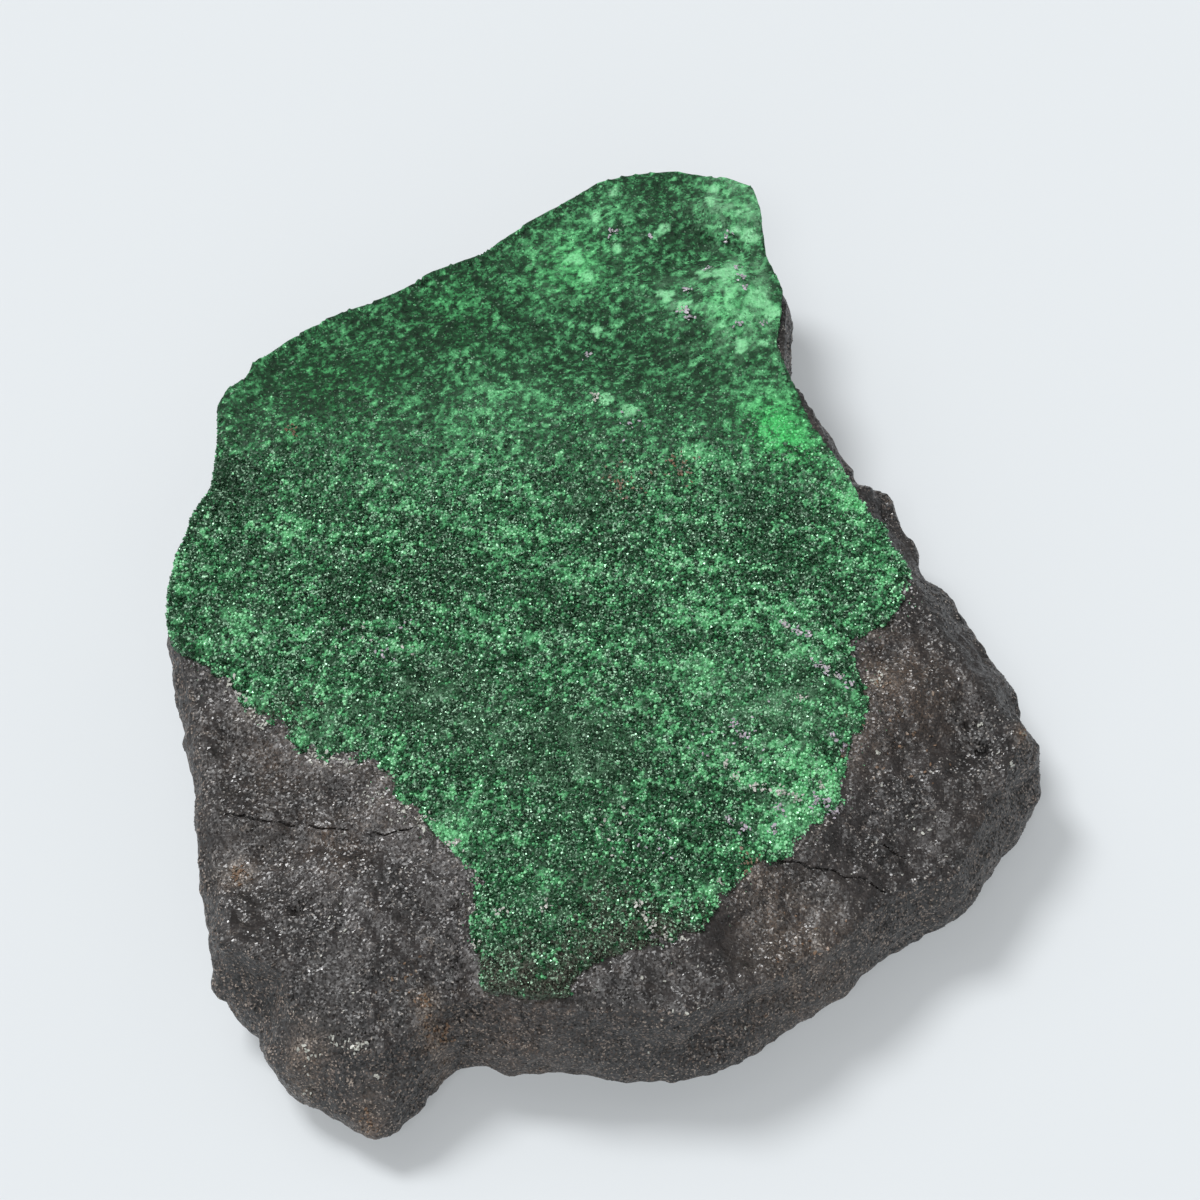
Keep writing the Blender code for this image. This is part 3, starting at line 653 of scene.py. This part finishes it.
def uvarovite(name, colours, gloss, fine, tilt):
    """Uvarovite garnet, grown free: deep emerald, glassy, translucent at its thin edges.
    Its colour comes from how bright and milky each crystal is; the finest crystals,
    too small to model one by one, are cells with their own shade and slope, a share of them
    painted pale green as glints, painted highlights. A milky skin dulls the crust's far end."""
    material, tree, output = new_material(name)
    place = add(tree, "TexCoord").outputs["Object"]
    bright = add(tree, "Attribute", attribute_name="bright")
    milky = add(tree, "Attribute", attribute_name="milky")
    painted_glint_share = add(tree, "Attribute", attribute_name="painted_glint_share")
    barren_share = add(tree, "Attribute", attribute_name="barren")
    skin = add(tree, "Attribute", attribute_name="skin")
    purity = add(tree, "Attribute", attribute_name="lush")
    cell = add(tree, "TexVoronoi", {"Vector": place, "Scale": 1.0 / CRYSTAL_CELL})
    facet = add(tree, "TexVoronoi", {"Vector": place, "Scale": 1.0 / FACET_CELL})
    shade = add(tree, "SeparateColor", {"Color": cell.outputs["Color"]})
    facet_shade = add(tree, "SeparateColor", {"Color": facet.outputs["Color"]})
    tone = add(tree, "Math", {0: shade.outputs["Red"], 1: fine, 2: -0.5 * fine}, operation="MULTIPLY_ADD")
    tone = add(tree, "Math", {0: tone.outputs[0], 1: bright.outputs["Fac"]}, operation="ADD", use_clamp=True)
    body = add(tree, "ValToRGB", {"Fac": tone.outputs[0]}, stops=colours)
    clouded = add(tree, "MapRange", {"Value": shade.outputs["Green"], "To Min": 0.3, "To Max": 0.9})
    clouded = add(tree, "Math", {0: milky.outputs["Fac"], 1: clouded.outputs[0]}, operation="MULTIPLY")
    body = add(tree, "Mix", {"Factor": clouded.outputs[0], 6: body.outputs["Color"],
                             7: linear("#9adcaa")}, data_type="RGBA")
    body = add(tree, "Mix", {"Factor": purity.outputs["Fac"], 6: body.outputs[2],
                             7: linear("#a6ffc8")}, data_type="RGBA", blend_type="MULTIPLY")
    dark_grain = add(tree, "Mix", {"Factor": facet_shade.outputs["Red"], 6: linear("#120f0e"),
                                   7: linear("#544d48")}, data_type="RGBA")
    body = add(tree, "Mix", {"Factor": barren_share.outputs["Fac"], 6: body.outputs[2],
                             7: dark_grain.outputs[2]}, data_type="RGBA")
    # Painted glints: the cells over the share are painted pale green.
    painted_glint = add(tree, "Math", {0: facet_shade.outputs["Blue"], 1: painted_glint_share.outputs["Fac"]}, operation="ADD")
    painted_glint = add(tree, "MapRange", {"Value": painted_glint.outputs[0], "From Min": 0.98, "From Max": 1.12,
                                   "To Max": 0.8})
    body = add(tree, "Mix", {"Factor": painted_glint.outputs[0], 6: body.outputs[2],
                             7: linear("#b2e0bd")}, data_type="RGBA")
    dulled = add(tree, "Math", {0: skin.outputs["Fac"], 1: 0.6, 2: gloss}, operation="MULTIPLY_ADD")
    shine = add(tree, "Math", {0: skin.outputs["Fac"], 1: -0.3, 2: 0.5}, operation="MULTIPLY_ADD")
    surface = add(tree, "BsdfPrincipled", {
        "Base Color": body.outputs[2], "Roughness": dulled.outputs[0], "IOR": 1.87,
        "Specular IOR Level": shine.outputs[0], "Specular Tint": linear("#bce8c8"),
        "Normal": tilted_cells(tree, cell.outputs["Color"], tilt)})
    tree.links.new(surface.outputs[0], output.inputs["Surface"])
    return material


base.data.materials.clear()
# The base's ramp is darker than the crystals': partly painted shade in the gaps.
base.data.materials.append(uvarovite("uvarovite_root_and_gap_shade", [
    (0.0, "#030d07"), (1.0, "#80d896"), (0.4, "#183b23"), (0.68, "#4a915f")], 0.35, 0.45, 1.2))
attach(base, "root")
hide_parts("uvarovite_crust")

# The garnets: crystals of uvarovite, 0.15 to 0.35 mm across, that stand side by side on the
# druse base and are grown together with it. The larger ones are whole rhombic dodecahedra; of the
# smaller ones only a few facets show. Their tips reach the height of the CAD crust.

LARGE_GAP = (0.40 * MM, 0.70 * MM)
LARGE_SIZE = (0.12 * MM, 0.17 * MM)
SMALL_GAP = (0.155 * MM, 0.21 * MM)
GARNET_KINDS = 28
TRIANGLES_A_PIECE = 190000
LARGE_SUNK = 0.75          # of a crystal's size, like the next two
SMALL_SUNK = 0.7
SKIN_SUNK = 0.35           # this much deeper where the milky skin is


def dodecahedron(draw):
    """A rhombic dodecahedron turned at random, cut flat where it is rooted in the base."""
    solid = bmesh.new()
    bmesh.ops.create_cube(solid, size=1.0)
    bmesh.ops.delete(solid, geom=solid.faces, context="FACES_ONLY")
    for axis in range(3):
        for way in (-1.0, 1.0):
            point = Vector((0.0, 0.0, 0.0))
            point[axis] = way
            solid.verts.new(point)
    bmesh.ops.convex_hull(solid, input=solid.verts)
    turn = Matrix.Rotation(draw.uniform(0.0, math.pi), 3, Vector(draw.normal(size=3)).normalized())
    bmesh.ops.rotate(solid, verts=solid.verts, cent=(0.0, 0.0, 0.0), matrix=turn)
    cut = bmesh.ops.bisect_plane(solid, geom=solid.verts[:] + solid.edges[:] + solid.faces[:],
                                 plane_co=(0.0, 0.0, -0.25), plane_no=(0.0, 0.0, 1.0), clear_inner=True)
    rim = [part for part in cut["geom_cut"] if isinstance(part, bmesh.types.BMEdge)]
    bmesh.ops.contextual_create(solid, geom=rim)
    bmesh.ops.dissolve_degenerate(solid, dist=0.06, edges=solid.edges)
    return shape_of(solid)


def grow_garnets(name, shapes, places, outward, sizes, finish):
    """Plants garnets as pieces of equal size from back to front, each crystal in its own shade."""
    bright, milky, painted_glint_field = growth(places)
    free = free_growth(places)
    bright += (0.09 + 0.16 * bright) * (0.4 + 0.6 * free) * draw.normal(size=len(places))
    bright = np.clip(bright, 0.0, 1.0)
    # Painted glints: each crystal's own share, and 3 crystals in 100 strongly painted.
    painted_glint_share = painted_glint_field * draw.uniform(0.2, 1.8, len(places))
    painted_glint_share += 0.7 * free * np.clip((draw.random(len(places)) - 0.97) * 33.0, 0.0, 1.0)
    dark = draw.random(len(places)) < barren(places)
    places = places - outward * (SKIN_SUNK * sizes * (1.0 - free))[:, None]
    lean = unit(outward + LEAN * draw.normal(size=outward.shape))
    shown = (("bright", bright), ("milky", milky), ("painted_glint_share", painted_glint_share), ("barren", 0.9 * dark),
             ("skin", 1.0 - free), ("lush", lush(places)))
    sides = np.mean([len(sides) for _, sides in shapes])
    order = np.argsort(-places[:, 1])
    parts = np.array_split(order, math.ceil(len(order) * sides / TRIANGLES_A_PIECE))
    for number, own in enumerate(parts):
        garnets, owners = plant("%s_%d" % (name, number + 1), shapes, places[own], lean[own],
                                sizes[own], draw)
        for label, values in shown:
            store(garnets.data, label, values[own][owners])
        garnets.data.materials.append(finish)
        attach(garnets, "root")
        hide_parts("uvarovite_crust")


garnet_finish = uvarovite("uvarovite_crystal", [
    (0.0, "#030f08"), (1.0, "#b0f0be"), (0.22, "#14371f"), (0.4, "#346845"), (0.6, "#529f69"),
    (0.82, "#7cd293")], 0.22, 0.2, 0.42)
drop = edge_drop(crust_places, bare_ground)
standing = (crust_outward[:, 2] > -0.35) & (drop < 0.97 * EDGE_DROP)
standing &= waves(crust_places, 0.55, 13) > -0.42
places, outward, drop = crust_places[standing], crust_outward[standing], drop[standing]
places[:, 2] -= drop
near = np.array([crust_tree.find_nearest(place)[3] for place in open_ground[0].tolist()]) / MM
chance = fade(waves(open_ground[0], 0.8, 33), -0.15, 0.3) * np.exp(-near / 0.3)
stray = (draw.random(len(near)) < chance) & (open_ground[1][:, 2] > 0.6)
places = np.concatenate([places, open_ground[0][stray]])
outward = np.concatenate([outward, open_ground[1][stray]])
crowding = np.clip(0.5 + 0.9 * waves(places, 1.3, 9), 0.0, 1.0)
kept = spread_out(places, LARGE_GAP[0] + (LARGE_GAP[1] - LARGE_GAP[0]) * crowding)
sizes = draw.uniform(*LARGE_SIZE, len(kept))
sunk = places[kept] - outward[kept] * (LARGE_SUNK * sizes)[:, None]
grow_garnets("garnets_large", [dodecahedron(draw) for _ in range(GARNET_KINDS)], sunk,
             outward[kept], sizes, garnet_finish)
kept = spread_out(places, SMALL_GAP[0] + (SMALL_GAP[1] - SMALL_GAP[0]) * crowding)
sizes = SMALL_GAP[0] + (SMALL_GAP[1] - SMALL_GAP[0]) * crowding[kept]
sizes *= draw.uniform(0.5, 0.85, len(kept))
depth = SMALL_SUNK * sizes + 0.05 * MM * np.abs(draw.normal(size=len(kept)))
sunk = places[kept] - outward[kept] * depth[:, None]
grow_garnets("garnets_small", [octahedron(draw) for _ in range(GARNET_KINDS)], sunk,
             outward[kept], sizes, garnet_finish)

# The pale minerals: flakes of lilac kammererite, white calcite and rusty crumbs caught among the
# garnets, mostly along the crust's ragged edge. Each is a flat splinter 0.15 to 0.35 mm long, bedded
# in the crust or lying in a hollow of the rock beside it.

FLAKES = {   # a colour, then x, y and radius in mm and the number of flakes in each group
    "lilac_flakes": ("#b9b0bc", [
        (0.9, 30.7, 0.35, 12), (3.6, 30.4, 0.2, 6), (9.1, 30.5, 0.3, 8), (7.7, 27.3, 0.35, 10),
        (9.6, 27.4, 0.3, 8), (10.1, 26.1, 0.35, 10), (10.2, 25.0, 0.25, 6), (6.2, 25.2, 0.35, 12),
        (5.9, 23.3, 0.35, 12), (6.3, 22.5, 0.3, 10), (11.4, 22.3, 0.25, 6), (9.7, 21.9, 0.25, 6),
        (-0.8, 20.0, 0.3, 8), (12.2, -3.2, 0.3, 8), (13.0, -3.6, 0.35, 14), (13.8, -3.9, 0.3, 12),
        (14.3, -6.2, 0.3, 10), (15.0, -6.7, 0.3, 12), (15.8, -7.1, 0.3, 10), (16.3, -7.5, 0.3, 8),
        (8.8, -10.9, 0.3, 8), (9.4, -11.8, 0.35, 10), (13.9, -16.4, 0.4, 18), (14.6, -16.3, 0.4, 18),
        (15.1, -16.7, 0.35, 12), (11.5, -17.3, 0.35, 12), (8.4, -18.3, 0.35, 10), (9.3, -18.8, 0.35, 12),
        (11.1, -18.6, 0.3, 10), (15.3, -11.6, 0.3, 8), (15.9, -12.0, 0.3, 8), (-14.0, -5.0, 2.0, 12),
        (3.0, -20.0, 2.0, 14), (2.0, 14.0, 1.2, 10), (9.0, -12.0, 2.5, 18)]),
    "white_flakes": ("#bcbdb5", [
        (-0.2, 15.9, 0.3, 14), (5.9, 23.4, 0.25, 5), (8.1, -14.2, 0.25, 6), (8.8, -15.1, 0.3, 10),
        (10.0, -15.6, 0.3, 8), (10.8, -15.8, 0.3, 8), (11.6, -16.1, 0.4, 16), (12.6, -16.5, 0.35, 14),
        (14.3, -15.3, 0.3, 8), (14.8, -6.5, 0.3, 8), (15.7, -7.1, 0.3, 6), (13.3, -8.9, 0.3, 8),
        (12.2, -3.0, 0.25, 5), (-24.2, -7.0, 0.4, 12), (-23.4, -8.2, 0.4, 10), (-22.4, -9.5, 0.5, 14),
        (-21.8, -10.0, 0.4, 10), (-18.7, -12.6, 0.5, 16), (-17.6, -13.0, 0.5, 14), (-16.2, -13.3, 0.4, 8),
        (-14.8, -16.0, 0.6, 14), (-12.8, -17.2, 0.7, 20), (-11.2, -18.0, 0.6, 18), (-9.3, -19.8, 0.4, 12),
        (-8.2, -22.0, 0.4, 10), (-7.9, -24.5, 0.4, 10), (-7.6, -27.0, 0.4, 8), (2.4, -24.6, 0.25, 8),
        (2.9, -25.3, 0.25, 12), (3.4, -25.9, 0.25, 12), (4.2, -26.4, 0.3, 10), (5.4, -26.5, 0.3, 8),
        (-3.4, -24.6, 0.3, 8), (-6.2, -24.9, 0.3, 6), (7.6, -22.6, 0.25, 8), (-15.2, -32.9, 0.18, 12),
        (-14.0, -34.1, 0.15, 6), (-16.6, -32.2, 0.3, 8), (-15.9, -32.4, 0.25, 6), (-14.7, -32.7, 0.3, 8),
        (27.0, -12.1, 0.2, 6), (25.1, -9.3, 0.2, 6), (18.2, -12.3, 0.15, 4), (18.2, -6.9, 0.5, 14),
        (-18.4, -32.6, 0.5, 10), (-18.4, -33.6, 0.4, 6), (-14.0, -4.0, 2.4, 14), (1.0, -18.7, 2.2, 16),
        (20.0, -16.0, 5.0, 20), (-17.0, -24.0, 5.0, 24), (5.0, -31.0, 4.0, 16)]),
    "rusty_crumbs": ("#7d6450", [
        (1.6, 8.6, 1.3, 40), (5.5, 10.0, 1.1, 32), (-21.0, 13.0, 0.5, 12), (27.9, -10.0, 0.25, 12),
        (-23.3, -20.6, 0.6, 36), (-10.9, -30.1, 0.4, 20), (-10.7, -31.3, 0.5, 26), (-9.7, -31.1, 0.4, 18),
        (9.6, -20.9, 0.7, 24), (18.4, -7.0, 0.6, 16), (-14.6, -36.0, 0.6, 20), (20.0, -10.5, 3.0, 36),
        (-12.0, -28.5, 2.0, 16), (13.0, -26.0, 2.5, 30)]),
}
FLAKE_SIZE = (0.05 * MM, 0.12 * MM)
FLAKE_KINDS = 16
LIFT_ON_CRUST = 0.15       # mm
LIFT_ON_ROCK = 0.03


def splinter(draw):
    """A flat, sharp-cornered flake."""
    solid = bmesh.new()
    bmesh.ops.create_circle(solid, cap_ends=True, radius=1.0, segments=5)
    raised = bmesh.ops.extrude_face_region(solid, geom=solid.faces[:])
    for vert in solid.verts:
        vert.co += Vector(draw.uniform(-0.35, 0.35, 3)) * 0.8
    for part in raised["geom"]:
        if isinstance(part, bmesh.types.BMVert):
            part.co.z += 0.5
    bmesh.ops.scale(solid, verts=solid.verts, vec=(1.3, 0.8, 0.8))
    return shape_of(solid)


def flake_finish(name, code):
    """A soft layered mineral: a pearly, slightly see-through flake with its own even tint."""
    material, tree, output = new_material(name)
    place = add(tree, "TexCoord").outputs["Object"]
    cloud = add(tree, "TexNoise", {"Vector": place, "Scale": 1.0 / (0.25 * MM), "Detail": 3.0})
    body = add(tree, "ValToRGB", {"Fac": cloud.outputs["Fac"]}, stops=[(0.25, "#7d827a"), (0.5, code)])
    slope = add(tree, "Bump", {"Height": cloud.outputs["Fac"], "Strength": 0.4, "Distance": 0.05 * MM})
    surface = add(tree, "BsdfPrincipled", {"Base Color": body.outputs["Color"], "Roughness": 0.35,
                                           "IOR": 1.57, "Normal": slope.outputs["Normal"]})
    tree.links.new(surface.outputs[0], output.inputs["Surface"])
    return material


crust_ground = BVHTree.FromObject(base, bpy.context.evaluated_depsgraph_get())
rock_ground = BVHTree.FromObject(rock, bpy.context.evaluated_depsgraph_get())
shapes = [splinter(draw) for _ in range(FLAKE_KINDS)]
for name, (code, groups) in FLAKES.items():
    spots, facing = [], []
    for x, y, radius, count in groups:
        for offset in draw.normal(0.0, 0.6 * radius, (count, 2)):
            above = ((x + offset[0]) * MM, (y + offset[1]) * MM, 20.0 * MM)
            struck = [ground.ray_cast(above, (0.0, 0.0, -1.0)) for ground in (crust_ground, rock_ground)]
            struck = [hit for hit in struck if hit[0] is not None]
            if struck:
                point, normal, _, depth = min(struck, key=lambda hit: hit[3])
                on_crust = len(struck) == 2 and struck[0][3] == depth
                spots.append(point + normal * (LIFT_ON_CRUST if on_crust else LIFT_ON_ROCK) * MM)
                facing.append(normal)
    sizes = draw.uniform(*FLAKE_SIZE, len(spots))
    lean = unit(np.array(facing) + 0.5 * draw.normal(size=(len(spots), 3)))
    flakes, _ = plant(name, shapes, np.array(spots), lean, sizes, draw)
    flakes.data.materials.append(flake_finish(name + "_mineral", code))
    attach(flakes, "root")
    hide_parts("chromite_matrix" if name == "rusty_crumbs" else "uvarovite_crust")

# The studio: a plain pale floor, a key light from the upper left and soft light from the front.
# The camera looks down at 55 degrees from 272 mm away through a 123 mm lens.

CAMERA_TILT = math.radians(55.0)
CAMERA_DISTANCE = 272.4 * MM
LOOKED_AT = Vector((0.057, -1.097, 12.0)) * MM


def light(name, strength, spread, azimuth, elevation):
    """A distant lamp seen from the stone at an azimuth and elevation in degrees."""
    lamp = bpy.data.lights.new(name, "SUN")
    lamp.energy = strength
    lamp.angle = math.radians(spread)
    holder = bpy.data.objects.new(name, lamp)
    towards = Vector((math.cos(math.radians(azimuth)), math.sin(math.radians(azimuth)),
                      math.tan(math.radians(elevation))))
    holder.rotation_euler = towards.to_track_quat("Z", "Y").to_euler()
    bpy.context.scene.collection.objects.link(holder)


tabletop = bmesh.new()
bmesh.ops.create_grid(tabletop, x_segments=1, y_segments=1, size=3.0)
floor = bpy.data.objects.new("tabletop", bpy.data.meshes.new("tabletop"))
tabletop.to_mesh(floor.data)
tabletop.free()
bpy.context.scene.collection.objects.link(floor)
board, tree, output = new_material("matt_card")
card = add(tree, "BsdfPrincipled", {
    "Base Color": linear("#babec1"), "Roughness": 1.0, "Specular IOR Level": 0.0,
    "Emission Color": linear("#e8edf0"), "Emission Strength": 0.3})
tree.links.new(card.outputs[0], output.inputs["Surface"])
floor.data.materials.append(board)

room = bpy.data.worlds.new("studio")
room.use_nodes = True
room.node_tree.nodes["Background"].inputs["Color"].default_value = (1.0, 1.0, 1.0, 1.0)
room.node_tree.nodes["Background"].inputs["Strength"].default_value = 0.2
bpy.context.scene.world = room
light("key_lamp", 2.1, 17.0, 144.0, 59.0)
light("key_softbox", 0.5, 50.0, 142.0, 60.0)
light("front_lamp", 0.5, 16.0, -105.0, 54.0)
light("front_softbox", 0.55, 60.0, -95.0, 32.0)
light("right_softbox", 0.1, 40.0, 15.0, 45.0)

camera = bpy.data.objects.new("camera", bpy.data.cameras.new("camera"))
camera.data.sensor_width = 36.0
camera.data.lens = 123.0
camera.data.clip_start = 0.01
camera.location = LOOKED_AT + CAMERA_DISTANCE * Vector((0.0, -math.cos(CAMERA_TILT), math.sin(CAMERA_TILT)))
camera.rotation_euler = (math.pi / 2.0 - CAMERA_TILT, 0.0, 0.0)
bpy.context.scene.collection.objects.link(camera)
bpy.context.scene.camera = camera
bpy.context.scene.view_settings.view_transform = "Standard"
